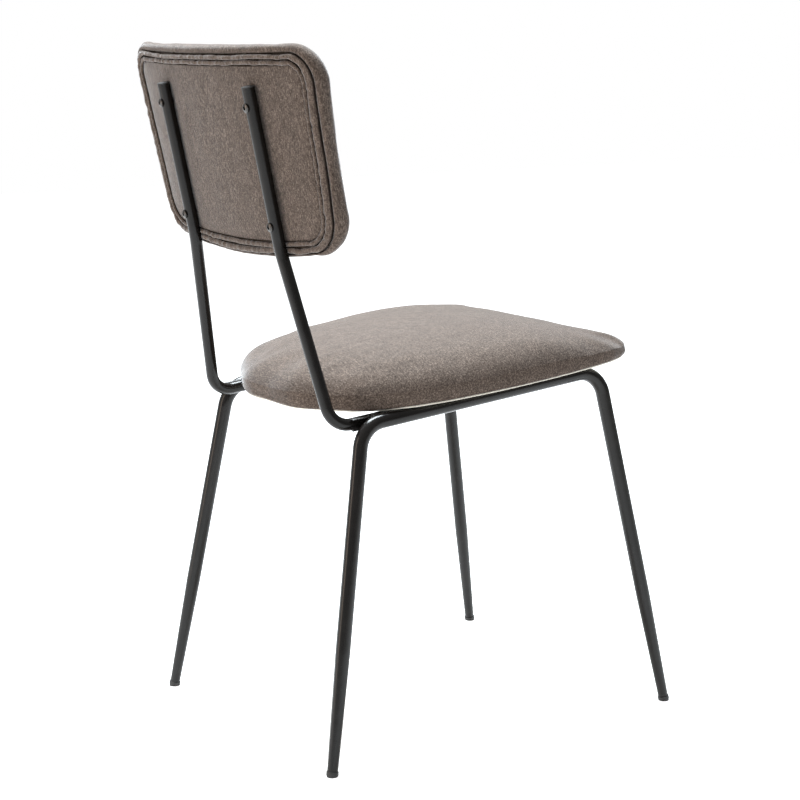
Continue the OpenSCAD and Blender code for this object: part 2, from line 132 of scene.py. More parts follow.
def seat_outline(n):
    """n points of the seat's outline: a smooth closed curve through SEAT_HALF and its mirror."""
    half = np.array(SEAT_HALF, float)
    p = np.vstack([half, half[-2:0:-1] * [-1, 1]])
    a, b, c, d = np.roll(p, 1, 0), p, np.roll(p, -1, 0), np.roll(p, -2, 0)
    out = []
    for t in np.linspace(0, 1, 24, endpoint=False):
        out.append(
            0.5 * (2 * b + (c - a) * t + (2 * a - 5 * b + 4 * c - d) * t * t
                   + (3 * b - a - 3 * c + d) * t**3)
        )
    return resampled(np.stack(out, 1).reshape(-1, 2), n)


def inward(p):
    """Unit inward normals of a clockwise closed outline."""
    t = np.roll(p, -1, 0) - np.roll(p, 1, 0)
    t /= np.linalg.norm(t, axis=1, keepdims=True)
    return np.stack([t[:, 1], -t[:, 0]], -1)


def back_outline(sides, top, bottom, n=400):
    """n points of the back's outline, moved in by so much at its sides, top and bottom."""
    wt, wb = BACK_HALF_TOP - sides, BACK_HALF_BOTTOM - sides
    zt, zb = BACK_TOP - top, BACK_BOTTOM + bottom
    rt, rb = max(BACK_R_TOP - top, 12), max(BACK_R_BOTTOM - bottom, 12)
    top_span, span = 2 * (wt - rt), 2 * (wb - rb)

    def arc(cx, cz, r, start):
        a = np.radians(start - np.linspace(0, 90, 19))
        return np.stack([cx + r * np.cos(a), cz + r * np.sin(a)], -1)

    along = np.linspace(-0.5, 0.5, 33)[1:-1]
    bow = 1 - 4 * along**2
    top_edge = np.stack([top_span * along, zt + max(3 - 0.3 * top, 0) * bow], -1)
    bottom_edge = np.stack([-span * along, zb - (9 - 0.15 * bottom) * bow], -1)
    p = np.vstack([
        arc(-wt + rt, zt - rt, rt, 180), top_edge, arc(wt - rt, zt - rt, rt, 90),
        arc(wb - rb, zb + rb, rb, 0), bottom_edge, arc(-wb + rb, zb + rb, rb, -90),
    ])
    # the sides draw in a little towards the top corners
    rise = np.clip((p[:, 1] - 120) / 110, 0, 1)
    p[:, 0] *= 1 - 0.026 * rise * rise
    # starts at the middle of the top edge, so that a seam in a welt can be placed
    p = resampled(p, 4 * n)
    p = np.roll(p, -int(np.argmin(np.abs(p[:, 0]) + (p[:, 1] < 100) * 1e3)), 0)
    return resampled(p, n)


def edge_distance(p, outline):
    """Distance of points (k, 2) from a closed outline (n, 2)."""
    a, b = outline, np.roll(outline, -1, 0)
    ab = b - a
    out = np.full(len(p), 1e9)
    for i in range(0, len(p), 2000):
        ap = p[i:i + 2000, None] - a[None]
        t = np.clip((ap * ab).sum(-1) / (ab * ab).sum(-1), 0, 1)
        out[i:i + 2000] = np.linalg.norm(ap - t[..., None] * ab, axis=-1).min(1)
    return out


def patch(ring):
    """Fills a closed ring of 4m points with an m by m grid: (m+1, m+1, k) points."""
    m = len(ring) // 4
    r = np.roll(ring, m // 2, 0)
    s1, s2 = r[: m + 1], r[m: 2 * m + 1]
    s3, s4 = r[2 * m: 3 * m + 1][::-1], np.vstack([r[3 * m:], r[:1]])[::-1]
    u = np.linspace(0, 1, m + 1)[None, :, None]
    v = np.linspace(0, 1, m + 1)[:, None, None]
    grid = (1 - v) * s1[None] + v * s3[None] + (1 - u) * s4[:, None] + u * s2[:, None]
    grid -= (1 - u) * (1 - v) * s1[0] + u * (1 - v) * s1[-1]
    grid -= (1 - u) * v * s3[0] + u * v * s3[-1]
    for _ in range(200):  # evens the grid out
        grid[1:-1, 1:-1] = 0.25 * (
            grid[:-2, 1:-1] + grid[2:, 1:-1] + grid[1:-1, :-2] + grid[1:-1, 2:]
        )
    return grid


# ---------------------------------------------------------------- meshes
def mesh_object(name, points, faces):
    mesh = bpy.data.meshes.new(name)
    mesh.from_pydata([tuple(p) for p in points], [], [tuple(f) for f in faces])
    mesh.validate()
    mesh.shade_smooth()
    obj = bpy.data.objects.new(name, mesh)
    scene.collection.objects.link(obj)
    return obj


def coords(obj):
    """The mesh's points, in metres."""
    co = np.zeros(len(obj.data.vertices) * 3)
    obj.data.vertices.foreach_get("co", co)
    return co.reshape(-1, 3)


def set_coords(obj, co):
    obj.data.vertices.foreach_set("co", np.ascontiguousarray(co, float).ravel())
    obj.data.update()


def ring_faces(start_a, start_b, n):
    """Quads between two rings of n points."""
    k = np.arange(n)
    j = (k + 1) % n
    return np.stack([start_a + k, start_a + j, start_b + j, start_b + k], -1).tolist()


def cap_faces(ring_start, n, grid_start, m, flip):
    """Quads of a patch whose border is the ring and whose inside starts at grid_start."""
    index = np.zeros((m + 1, m + 1), int)
    index[1:-1, 1:-1] = grid_start + np.arange((m - 1) ** 2).reshape(m - 1, m - 1)
    r = np.roll(ring_start + np.arange(n), m // 2)
    index[0, :] = r[: m + 1]
    index[:, -1] = r[m: 2 * m + 1]
    index[-1, :] = r[2 * m: 3 * m + 1][::-1]
    index[:, 0] = np.concatenate([r[3 * m:], r[:1]])[::-1]
    f = np.stack([index[:-1, :-1], index[:-1, 1:], index[1:, 1:], index[1:, :-1]], -1)
    f = f.reshape(-1, 4)
    return (f[:, ::-1] if flip else f).tolist()


def closed_tube(name, points, n, m):
    """A tube of n cross-sections of m points each, closed on itself."""
    faces = []
    for a in range(n):
        b = (a + 1) % n
        for k in range(m):
            j = (k + 1) % m
            faces.append((a * m + k, a * m + j, b * m + j, b * m + k))
    obj = mesh_object(name, points, faces)
    outward(obj)
    return obj


def slab(name, one_side, other_side):
    """A closed thin sheet from two m by m grids of points."""
    m = one_side.shape[0]
    idx = np.arange(m * m).reshape(m, m)
    f = np.stack([idx[:-1, :-1], idx[:-1, 1:], idx[1:, 1:], idx[1:, :-1]], -1).reshape(-1, 4)
    border = np.concatenate([idx[0, :-1], idx[:-1, -1], idx[-1, :0:-1], idx[:0:-1, 0]])
    nxt = np.roll(border, -1)
    faces = f.tolist() + (f[:, ::-1] + m * m).tolist()
    faces += np.stack([border, border + m * m, nxt + m * m, nxt], -1).tolist()
    obj = mesh_object(name, np.vstack([one_side.reshape(-1, 3), other_side.reshape(-1, 3)]), faces)
    outward(obj)
    return obj


def closed_form(name, rings, first_cap, last_cap):
    """A closed mesh from rings of the same length, with a grid at each end."""
    n = len(rings[0])
    m = n // 4
    points, faces = [], []
    for i, ring in enumerate(rings):
        points.append(ring)
        if i:
            faces += ring_faces((i - 1) * n, i * n, n)
    start = n * len(rings)
    for at, cap, flip in ((0, first_cap, True), ((len(rings) - 1) * n, last_cap, False)):
        points.append(cap[1:-1, 1:-1].reshape(-1, 3))
        faces += cap_faces(at, n, start, m, flip)
        start += (m - 1) ** 2
    obj = mesh_object(name, np.vstack(points), faces)
    outward(obj)
    return obj


def outward(obj):
    """Turns the faces of a closed mesh outwards."""
    bm = bmesh.new()
    bm.from_mesh(obj.data)
    bmesh.ops.recalc_face_normals(bm, faces=bm.faces)
    bm.to_mesh(obj.data)
    bm.free()


def normals(obj):
    """The mesh's normals at its points."""
    no = np.zeros(len(obj.data.vertices) * 3)
    obj.data.vertices.foreach_get("normal", no)
    return no.reshape(-1, 3)


def uneven(obj, amount, size, seed):
    """Moves points along their normals by smooth noise: amount and size in millimetres."""
    co, no = coords(obj), normals(obj)
    shift = Vector((seed * 7.3, seed * 3.1, seed * 5.7))
    d = np.array([noise.noise(Vector(p) / (size * MM) + shift) for p in co])
    set_coords(obj, co + no * (d * amount * MM)[:, None])


def subdivided(obj):
    """Adds one applied level of subdivision."""
    m = obj.modifiers.new("round", "SUBSURF")
    m.levels = m.render_levels = 1
    applied(obj)


def applied(obj):
    """Puts the result of the modifiers into the mesh."""
    graph = bpy.context.evaluated_depsgraph_get()
    mesh = bpy.data.meshes.new_from_object(obj.evaluated_get(graph))
    old = obj.data
    obj.modifiers.clear()
    obj.data = mesh
    mesh.name = obj.name
    bpy.data.meshes.remove(old)
    mesh.shade_smooth()


PUFF_FRAMES = 20


def puffed(obj, held, pressure, cap):
    """Swells a closed mesh by cloth simulation. held marks points that stay; cap is in mm."""
    group = obj.vertex_groups.new(name="held")
    group.add([int(i) for i in np.flatnonzero(held)], 1.0, "REPLACE")
    rest = coords(obj)
    cloth = obj.modifiers.new("cloth", "CLOTH")
    s = cloth.settings
    s.quality = 5
    s.mass = 0.25
    s.tension_stiffness = s.compression_stiffness = 12
    s.shear_stiffness = 6
    s.bending_stiffness = 0.6
    s.use_pressure = True
    s.uniform_pressure_force = pressure
    s.vertex_group_mass = "held"
    s.effector_weights.gravity = 0
    cloth.collision_settings.use_collision = False
    cloth.point_cache.frame_start, cloth.point_cache.frame_end = 1, PUFF_FRAMES
    scene.frame_start, scene.frame_end = 1, PUFF_FRAMES
    for f in range(1, PUFF_FRAMES + 1):
        scene.frame_set(f)
    graph = bpy.context.evaluated_depsgraph_get()
    swollen = coords(obj.evaluated_get(graph))
    obj.modifiers.clear()
    scene.frame_set(1)
    move = swollen - rest
    far = np.linalg.norm(move, axis=1, keepdims=True) / MM
    soft = cap * np.tanh(far / cap) / np.maximum(far, 1e-6)
    set_coords(obj, rest + move * soft)


def relaxed(obj, near, far, times):
    """Smooths the seat's crown, from near mm inside its outline, fully from far mm."""
    p = from_row(coords(obj), SEAT_ORIGIN, SEAT_SLOPE)
    share = np.clip((edge_distance(p[:, :2], seat_fine) - near) / (far - near), 0, 1)
    share = np.where(p[:, 2] > 25, share, 0)
    group = obj.vertex_groups.new(name="crown")
    for i in np.flatnonzero(share):
        group.add([int(i)], float(share[i]), "REPLACE")
    smooth = obj.modifiers.new("smooth", "SMOOTH")
    smooth.factor = 0.5
    smooth.iterations = times
    smooth.vertex_group = "crown"
    applied(obj)


def attribute(obj, name, values):
    """Stores one number per point, for a material to read."""
    a = obj.data.attributes.get(name) or obj.data.attributes.new(name, "FLOAT", "POINT")
    a.data.foreach_set("value", np.asarray(values, np.float32))


# ---------------------------------------------------------------- seat cushion
# heights above the rail plane: where the side starts to rise, and the flat cloth under it
HEM_Z, HEM_FLAT_Z = 10.6, 10.7
# the side's height, and how much higher the shoulder and the dome take the crown
SIDE_H, SHOULDER_H, DOME_H = 19.5, 19.0, 18.5
DOME_REACH = 185
# the crown drops towards the front edge, and more at the two corners than in the middle
DROP_FROM, DROP_LENGTH = -240, 150
MIDDLE_DROP, CORNER_DROP = 0.22, 0.24
SEAT_N = 256
# how far in the rings of the seat go, above and below, before a grid closes them
TOP_IN, UNDER_IN = 21, 24
CROWN_PASSES = 80
seat_line = seat_outline(SEAT_N)
seat_in = inward(seat_line)
seat_fine = seat_outline(480)


def seat_height(xy, d):
    """Height of the seat's top above the rail plane, at distance d from its outline."""
    d = np.maximum(d, 0)
    shoulder = SHOULDER_H * (1 - np.exp(-d / 11))
    dome = DOME_H * (1 - (1 - np.minimum(d, DOME_REACH) / DOME_REACH) ** 2)
    front = np.clip((DROP_FROM - xy[:, 1]) / DROP_LENGTH, 0, 1)
    front = front * front * (3 - 2 * front)
    low = 1 - front * (MIDDLE_DROP + CORNER_DROP * (xy[:, 0] / 200) ** 2)
    return HEM_Z + SIDE_H * (0.35 + 0.65 * low) + (shoulder + dome) * low


def make_seat():
    """The seat pad: turned-in hem, rounded side and crown, swollen by pressure."""
    rings = []
    for d, z in ((UNDER_IN, HEM_FLAT_Z), (15, 10.5), (10, 10.5), (7, 10.9), (4.5, 11.8), (2.4, 13.4),
                 (0.9, 15.8), (0.2, 18.8)):
        xy = seat_line + seat_in * d
        low = (seat_height(seat_line, np.zeros(SEAT_N)) - HEM_Z) / SIDE_H
        rings.append(seat_row(np.column_stack([xy, HEM_Z + (z - HEM_Z) * low])))
    for d in (0, 0.15, 0.6, 1.4, 2.6, 4.2, 6.2, 8.8, 12, 16, TOP_IN):
        xy = seat_line + seat_in * d
        rings.append(seat_row(np.column_stack([xy, seat_height(xy, np.full(SEAT_N, float(d)))])))
    top = patch(seat_line + seat_in * TOP_IN)
    flat = top.reshape(-1, 2)
    top_z = seat_height(flat, edge_distance(flat, seat_fine)).reshape(top.shape[:2])
    for _ in range(CROWN_PASSES):  # takes the ridges out of the crown
        near = top_z[:-2, 1:-1] + top_z[2:, 1:-1] + top_z[1:-1, :-2] + top_z[1:-1, 2:]
        top_z[1:-1, 1:-1] = 0.5 * top_z[1:-1, 1:-1] + 0.125 * near
    under = patch(seat_line + seat_in * UNDER_IN)
    under_z = np.full(under.shape[:2] + (1,), HEM_FLAT_Z)
    seat = closed_form(
        "seat_cushion", rings,
        seat_row(np.concatenate([under, under_z], -1)),
        seat_row(np.concatenate([top, top_z[..., None]], -1)),
    )
    z = from_row(coords(seat), SEAT_ORIGIN, SEAT_SLOPE)[:, 2]
    puffed(seat, z < 12.5, pressure=4, cap=3.5)
    relaxed(seat, near=8, far=28, times=16)
    subdivided(seat)
    uneven(seat, 0.7, 55, 1)
    uneven(seat, 0.25, 18, 2)
    p = from_row(coords(seat), SEAT_ORIGIN, SEAT_SLOPE)
    # painted shade: the seat's side is darkened over its lowest few millimetres, where it tucks
    # under towards the rail
    attribute(seat, "seam", np.clip((13.5 - p[:, 2]) / 3.5, 0, 1) * 0.8)
    return seat


# ---------------------------------------------------------------- back cushion
BACK_N = 400
EDGE_R = 20.0
# where the back's rounded edge ends, and how deep the pad is there
FACE_IN, FACE_DEEP = 38, 25.6
# the rear seams lie further in at the top and less far in at the bottom
REAR_TOP, REAR_BOTTOM = 1.13, 0.6


def make_back():
    """The back pad: a rear edge that dips into the seam, a rounded side and a crowned face."""
    rings = []

    def ring(d, q, top=1.0, bottom=1.0):
        o = back_outline(d, d * top, d * bottom, BACK_N)
        rings.append(back_row(o[:, 0], o[:, 1], q))

    for d, q in ((FACE_IN, 4.0), (24, 3.8), (14, 3.6), (10.6, 3.2), (9.5, 2.2), (8.4, 1.1),
                 (6.8, 0.4), (5.0, 0.4), (3.2, 1.2), (1.8, 2.8), (0.9, 5.0)):
        ring(d, q, REAR_TOP, REAR_BOTTOM)
    for turn in range(0, 90, 11):  # the rounded edge towards the front
        c, s = math.cos(math.radians(turn)), math.sin(math.radians(turn))
        ring(0.8 + EDGE_R * (1 - c), 7.2 + (EDGE_R - 3.5) * s)
    ring(29, 24.7)
    ring(FACE_IN, FACE_DEEP)
    under = patch(back_outline(FACE_IN, FACE_IN * REAR_TOP, FACE_IN * REAR_BOTTOM, BACK_N))
    front = patch(back_outline(FACE_IN, FACE_IN, FACE_IN, BACK_N))
    d = edge_distance(front.reshape(-1, 2), back_outline(0, 0, 0, BACK_N))
    q = FACE_DEEP + 3.8 * (1 - np.exp(-np.maximum(d - FACE_IN, 0) / 40))
    back = closed_form(
        "back_cushion", rings,
        back_row(under[..., 0], under[..., 1], 4.0),
        back_row(front[..., 0], front[..., 1], q.reshape(front.shape[:2])),
    )
    x, t, depth = back_depth(coords(back))
    d = edge_distance(np.stack([x, t], -1), back_outline(0, 0, 0, BACK_N))
    puffed(back, (depth < 5) & (d > 5.0), pressure=3, cap=2.5)
    subdivided(back)
    uneven(back, 0.8, 45, 3)
    uneven(back, 0.25, 15, 4)
    x, t, depth = back_depth(coords(back))
    # painted shade: a dark line on the rear face along the outer seam, where the pad meets the welt
    seam = edge_distance(np.stack([x, t], -1), back_outline(*SEAM_OUT, BACK_N))
    attribute(back, "seam", np.where(depth < 6, np.clip(1 - (seam - 0.2) / 1.5, 0, 1), 0))
    return back


def clear_of_uprights(p, gap):
    """Pushes row-frame points towards the back's inside until they clear both uprights."""
    p = p.copy()
    for side in (1, -1):
        flip = np.array([side, 1, 1])
        for _ in range(4):
            near = np.full(len(p), 1e9)
            for a, b in ((UPRIGHT_LOW, UPRIGHT_MID), (UPRIGHT_MID, UPRIGHT_TIP)):
                a, b = a * flip, b * flip
                ap = p / MM - a
                t = np.clip((ap @ (b - a)) / ((b - a) @ (b - a)), 0, 1)
                near = np.minimum(near, np.linalg.norm(ap - t[:, None] * (b - a), axis=1))
            push = np.clip(UPRIGHT_R + gap - near, 0, 4)
            x, t, q = back_depth(p)
            p = np.where((push > 0)[:, None], back_row(x, t, q + push), p)
    return p


# the gap between a welt and the seam beside it, and the points round a welt's section
SEAM_GAP = 0.45
WELT_SIDES = 16
# least gaps between the uprights and the cloth near them
WELT_CLEAR, PANEL_CLEAR = 0.35, 0.2


def ring_noise(n, turns, seed):
    """Smooth noise round a closed ring of n points; turns sets how often it changes."""
    a = np.arange(n) / n * 2 * math.pi
    p = np.stack([np.cos(a) * turns, np.sin(a) * turns, np.full(n, float(seed))], -1)
    return np.array([noise.noise(Vector(v)) for v in p])


def make_welt(name, outer, inner, rise, sink, seed):
    """A padded fabric roll that fills the strip between two outlines."""
    n, m = BACK_N * 2, WELT_SIDES
    o, i = back_outline(*outer, n), back_outline(*inner, n)
    # the inner outline starts at the same place and runs at its own pace, so pair by nearest
    gap = np.linalg.norm(o[:, None] - i[None], axis=-1)
    i = i[np.argmin(gap, 1)]
    for _ in range(12):
        i = 0.25 * np.roll(i, 1, 0) + 0.5 * i + 0.25 * np.roll(i, -1, 0)
    mid, half = (o + i) / 2, (o - i) / 2
    width = np.linalg.norm(half, axis=1, keepdims=True)
    half *= (width - SEAM_GAP) / width
    wob, fat, crease = (ring_noise(n, turns, seed + turns) for turns in (4, 11, 26))
    points = []
    angles = [2 * math.pi * k / m for k in range(m)]
    for a in angles:
        c, s = math.cos(a), math.sin(a)
        c = math.copysign(abs(c) ** 0.85, c)
        q = 0.8 - (rise * max(s, 0) + sink * min(s, 0)) * (1 + 0.2 * fat + 0.3 * crease)
        sway = half / width * (1.8 * wob + 0.9 * fat)[:, None]
        xy = mid + half * (c * (1 + 0.14 * crease))[:, None] + sway
        points.append(back_row(xy[:, 0], xy[:, 1], q))
    points = np.stack(points, 1).reshape(-1, 3)
    obj = closed_tube(name, clear_of_uprights(points, WELT_CLEAR), n, m)
    # painted shade: each welt is dark at its flanks beside the seams and on its sunken half, and
    # light only along its crown
    attribute(obj, "seam", np.tile([1 - max(math.sin(a), 0) ** 0.5 for a in angles], n))
    return obj


# how far up the back the uprights press on the panel
UPRIGHT_REACH = 196
PANEL_T = 2.0
PANEL_N = 512


def make_panel():
    """The rear panel: cloth drawn over thin wadding, pressed flat along the uprights."""
    line = back_outline(*PANEL_EDGE, PANEL_N)
    grid = patch(line)
    shape = grid.shape[:2]
    x, t = grid[..., 0], grid[..., 1]
    d = edge_distance(grid.reshape(-1, 2), line).reshape(shape)
    u = np.minimum(np.abs(x - UPRIGHT_X), np.abs(x + UPRIGHT_X))
    below_tip = np.clip((UPRIGHT_REACH - t) / 10, 0, 1)
    pressed = np.exp(-((u / 15) ** 2)) * below_tip
    q = 1.1 - 2.1 * (1 - np.exp(-d / 9)) * (1 - pressed) - 0.75 * pressed
    obj = slab("back_panel_cloth", back_row(x, t, q), back_row(x, t, q + PANEL_T))
    uneven(obj, 0.35, 30, 5)
    set_coords(obj, clear_of_uprights(coords(obj), PANEL_CLEAR))
    # painted shade: the panel darkens towards its edge, in the seam under the inner welt
    edge = edge_distance(grid.reshape(-1, 2), back_outline(*SEAM_IN, PANEL_N))
    seam = np.clip(1 - edge / 2.2, 0, 1)
    attribute(obj, "seam", np.tile(seam, 2))
    return obj


# ---------------------------------------------------------------- lining under the seat
# how far in from the seat's outline the sheet ends, its height and its thickness
LINING_IN = 9.0
LINING_Z = 9.45
LINING_T = 0.6


def make_lining_edge():
    """The lining's turned edge, which shows as a pale line between seat and rail."""
    n = 512
    line = seat_outline(n)
    into = inward(line)
    run = np.arange(n) / n * 2 * math.pi
    wave = np.array([noise.noise(Vector((math.cos(a) * 9, math.sin(a) * 9, 3.0))) for a in run])
    points = []
    for d, z in ((11, LINING_Z), (7.6, LINING_Z), (6.7, 9.7), (6.4, 10.4), (6.7, 11.4), (8.5, 12.0),
                 (11, 12.0)):
        xy = line + into * (d + 0.5 * wave)[:, None]
        points.append(seat_row(np.column_stack([xy, z + 0.18 * wave])))
    return closed_tube("lining_edge", np.stack(points, 1).reshape(-1, 3), n, len(points))


def make_dust_cloth():
    """The stretched sheet under the seat, with its flat size and its area."""
    edge = seat_line + seat_in * LINING_IN
    grid = patch(edge)
    flat = grid.reshape(-1, 2)
    ripple = np.array([noise.noise(Vector((p[0] / 38, p[1] / 60, 2.0))) for p in flat])
    lift = np.clip((edge_distance(flat, seat_fine) - LINING_IN) / 30, 0, 1)
    z = (LINING_Z + 0.35 * ripple * lift).reshape(grid.shape[:2] + (1,))
    obj = slab(
        "seat_dust_cloth",
        seat_row(np.concatenate([grid, z], -1)),
        seat_row(np.concatenate([grid, z + LINING_T], -1)),
    )
    x, y = edge.T
    area = 0.5 * abs(np.dot(x, np.roll(y, -1)) - np.dot(y, np.roll(x, -1)))
    return obj, (np.ptp(x) * MM, np.ptp(y) * MM), area * MM * MM


# ---------------------------------------------------------------- materials
class Look:
    """A node material, with short ways to add nodes."""

    def __init__(self, name):
        self.mat = bpy.data.materials.new(name)
        self.mat.use_nodes = True
        self.tree = self.mat.node_tree
        self.shader = self.tree.nodes["Principled BSDF"]
        self.place = self.tree.nodes.new("ShaderNodeTexCoord").outputs["Object"]

    def set(self, **values):
        """Sets the shader's own sockets."""
        for key, value in values.items():
            self.shader.inputs[key.replace("_", " ")].default_value = value
        return self

    def node(self, kind, inputs=None, **props):
        """Adds a node; an input is a value or the socket that feeds it."""
        n = self.tree.nodes.new(kind)
        for k, v in props.items():
            setattr(n, k, v)
        for k, v in (inputs or {}).items():
            if isinstance(v, bpy.types.NodeSocket):
                self.tree.links.new(v, n.inputs[k])
            else:
                n.inputs[k].default_value = v
        return n

    def mapped(self, scale=(1, 1, 1), turn=(0, 0, 0)):
        """The object's own coordinates, turned and scaled."""
        return self.node(
            "ShaderNodeMapping", {"Vector": self.place, "Scale": scale, "Rotation": turn}
        ).outputs["Vector"]

    def noise(self, vector, per_metre, detail=2, rough=0.5):
        return self.node(
            "ShaderNodeTexNoise",
            {"Vector": vector, "Scale": per_metre, "Detail": detail, "Roughness": rough},
        ).outputs["Fac"]

    def math(self, op, a, b):
        return self.node("ShaderNodeMath", {0: a, 1: b}, operation=op).outputs[0]

    def ramp(self, fac, stops):
        n = self.node("ShaderNodeValToRGB", {"Fac": fac})
        e = n.color_ramp.elements
        for i, (pos, col) in enumerate(stops):
            el = e[i] if i < 2 else e.new(pos)
            el.position = pos
            el.color = (*col, 1) if len(col) == 3 else col
        return n.outputs["Color"]

    def mix(self, fac, a, b, blend="MIX"):
        n = self.node("ShaderNodeMix", data_type="RGBA", blend_type=blend)
        for k, v in ((0, fac), (6, a), (7, b)):
            if isinstance(v, bpy.types.NodeSocket):
                self.tree.links.new(v, n.inputs[k])
            else:
                n.inputs[k].default_value = v if k == 0 else (*v, 1)
        return n.outputs[2]

    def link(self, socket, key):
        self.tree.links.new(socket, self.shader.inputs[key])

    def bump(self, height, strength, distance, under=None):
        inputs = {"Height": height, "Strength": strength, "Distance": distance}
        if under:
            inputs["Normal"] = under
        return self.node("ShaderNodeBump", inputs).outputs["Normal"]


def chenille(name, turn, tone=1.0, streak=(1.0, 1.0, 0.35)):
    """Brushed flat-weave upholstery: short threads, flecks, long soft streaks, sheen, and shade
    painted into its seams from the seam attribute.
    """
    m = Look(name).set(Roughness=0.9, Sheen_Weight=0.6, Sheen_Roughness=0.33,
                       Sheen_Tint=(0.97, 0.98, 1.0, 1.0), Specular_IOR_Level=0.1)
    lay = m.mapped(turn=turn)
    along = m.node("ShaderNodeMapping", {"Vector": lay, "Scale": streak}).outputs["Vector"]
    fleck = m.noise(lay, 620, 3, 0.7)
    thread = m.noise(along, 600, 2, 0.6)
    band = m.noise(along, 170, 2, 0.55)
    cloud = m.noise(lay, 60, 3, 0.6)
    grain = m.math("ADD", m.math("MULTIPLY", fleck, 0.6), m.math("MULTIPLY", thread, 0.4))
    tones = [(0.33, (0.022, 0.0155, 0.0115)), (0.68, (0.205, 0.162, 0.133)),
             (0.50, (0.078, 0.058, 0.047))]
    colour = m.ramp(grain, [(at, tuple(tone * v for v in rgb)) for at, rgb in tones])
    for share, part, swing in ((0.35, band, 0.24), (0.4, cloud, 0.26)):
        shade = m.ramp(part, [(0.3, (1 - swing,) * 3), (0.7, (1 + swing,) * 3)])
        colour = m.mix(share, colour, shade, "MULTIPLY")
    # painted shade: the cloth is pulled towards near-black where the per-point seam value is high,
    # standing in for the shadow in seams and under edges
    seam = m.node("ShaderNodeAttribute", attribute_name="seam").outputs["Fac"]
    colour = m.mix(m.math("MULTIPLY", seam, 0.85), colour, (0.014, 0.010, 0.008))
    m.link(colour, "Base Color")
    m.link(m.bump(grain, 0.75, 0.0008), "Normal")
    return m.mat


def groove_shade_cloth(name):
    """Painted shade: near-black cloth that stands in for the shadow deep in a seam."""
    m = Look(name).set(Roughness=1.0, Specular_IOR_Level=0.0)
    m.link(m.ramp(m.noise(m.mapped(), 700, 2), [(0.3, (0.012, 0.009, 0.007)),
                                                (0.7, (0.036, 0.028, 0.023))]), "Base Color")
    return m.mat


def powder_coat(name):
    """Satin black paint with a slight orange peel."""
    m = Look(name).set(Metallic=0.0, Specular_IOR_Level=0.27)
    p = m.mapped()
    cloud = m.noise(p, 30, 3, 0.5)
    m.link(m.ramp(cloud, [(0.3, (0.004, 0.0034, 0.003)), (0.7, (0.008, 0.0068, 0.006))]),
           "Base Color")
    m.link(m.node("ShaderNodeMapRange", {"Value": m.noise(p, 140, 3, 0.6), "To Min": 0.16,
                                         "To Max": 0.26}).outputs["Result"], "Roughness")
    peel = m.bump(m.noise(p, 900, 2, 0.5), 0.22, 0.0002)
    m.link(m.bump(m.noise(p, 75, 1, 0.4), 0.10, 0.0012, peel), "Normal")
    return m.mat


def moulded_plastic(name):
    """Matt black plastic with a fine spark-eroded grain."""
    m = Look(name).set(Specular_IOR_Level=0.4)
    p = m.mapped()
    m.link(m.ramp(m.noise(p, 200, 2), [(0.3, (0.016, 0.016, 0.016)), (0.7, (0.026, 0.025, 0.025))]),
           "Base Color")
    m.link(m.node("ShaderNodeMapRange", {"Value": m.noise(p, 500, 3, 0.7), "To Min": 0.45,
                                         "To Max": 0.62}).outputs["Result"], "Roughness")
    m.link(m.bump(m.noise(p, 2500, 2, 0.6), 0.3, 0.0001), "Normal")
    return m.mat


def plated_steel(name, low, high):
    """Zinc-plated steel between two tones."""
    m = Look(name).set(Metallic=1.0)
    p = m.mapped()
    m.link(m.ramp(m.noise(p, 350, 3), [(0.3, low), (0.7, high)]), "Base Color")
    m.link(m.node("ShaderNodeMapRange", {"Value": m.noise(p, 900, 3, 0.7), "To Min": 0.24,
                                         "To Max": 0.40}).outputs["Result"], "Roughness")
    m.link(m.bump(m.noise(p, 3000, 2), 0.12, 0.0001), "Normal")
    return m.mat


def nonwoven(name):
    """Cream lining of bonded fibres with small pressed dots."""
    m = Look(name).set(Roughness=0.95, Specular_IOR_Level=0.1, Sheen_Weight=0.1)
    p = m.mapped()
    fibre = m.noise(p, 700, 4, 0.75)
    m.link(m.ramp(fibre, [(0.3, (0.50, 0.46, 0.39)), (0.7, (0.76, 0.72, 0.64))]), "Base Color")
    dots = m.node("ShaderNodeTexVoronoi", {"Vector": p, "Scale": 480}).outputs["Distance"]
    m.link(m.bump(m.math("ADD", dots, fibre), 0.35, 0.0003), "Normal")
    return m.mat


def plywood(name):
    """Pale plywood with its grain along Y."""
    m = Look(name).set(Roughness=0.62)
    p = m.mapped(scale=(1, 0.08, 1))
    grain = m.noise(p, 160, 6, 0.7)
    m.link(m.ramp(grain, [(0.3, (0.36, 0.24, 0.13)), (0.7, (0.66, 0.49, 0.30))]), "Base Color")
    m.link(m.bump(grain, 0.2, 0.0003), "Normal")
    return m.mat


LOOKS = {
    "black_powder_coat": powder_coat("black_powder_coat"),
    "black_plastic": moulded_plastic("black_plastic"),
    "zinc_steel": plated_steel("zinc_steel", (0.40, 0.39, 0.38), (0.56, 0.55, 0.53)),
    "black_zinc": plated_steel("black_zinc", (0.045, 0.043, 0.042), (0.10, 0.095, 0.09)),
    "plywood": plywood("plywood"),
    "lining": nonwoven("lining"),
    "seat_fabric": chenille("seat_fabric", (SEAT_SLOPE, 0, 0), streak=(0.35, 1.0, 1.0)),
    "back_fabric": chenille("back_fabric", (BACK_LEAN, 0, 0)),
    "welt_fabric": chenille("welt_fabric", (BACK_LEAN, 0, math.radians(35)), 1.08,
                            (1.0, 1.0, 0.5)),
}
# painted shade: a near-black material for the deepest parts of the seams
GROOVE_SHADE = groove_shade_cloth("seam_shadow")


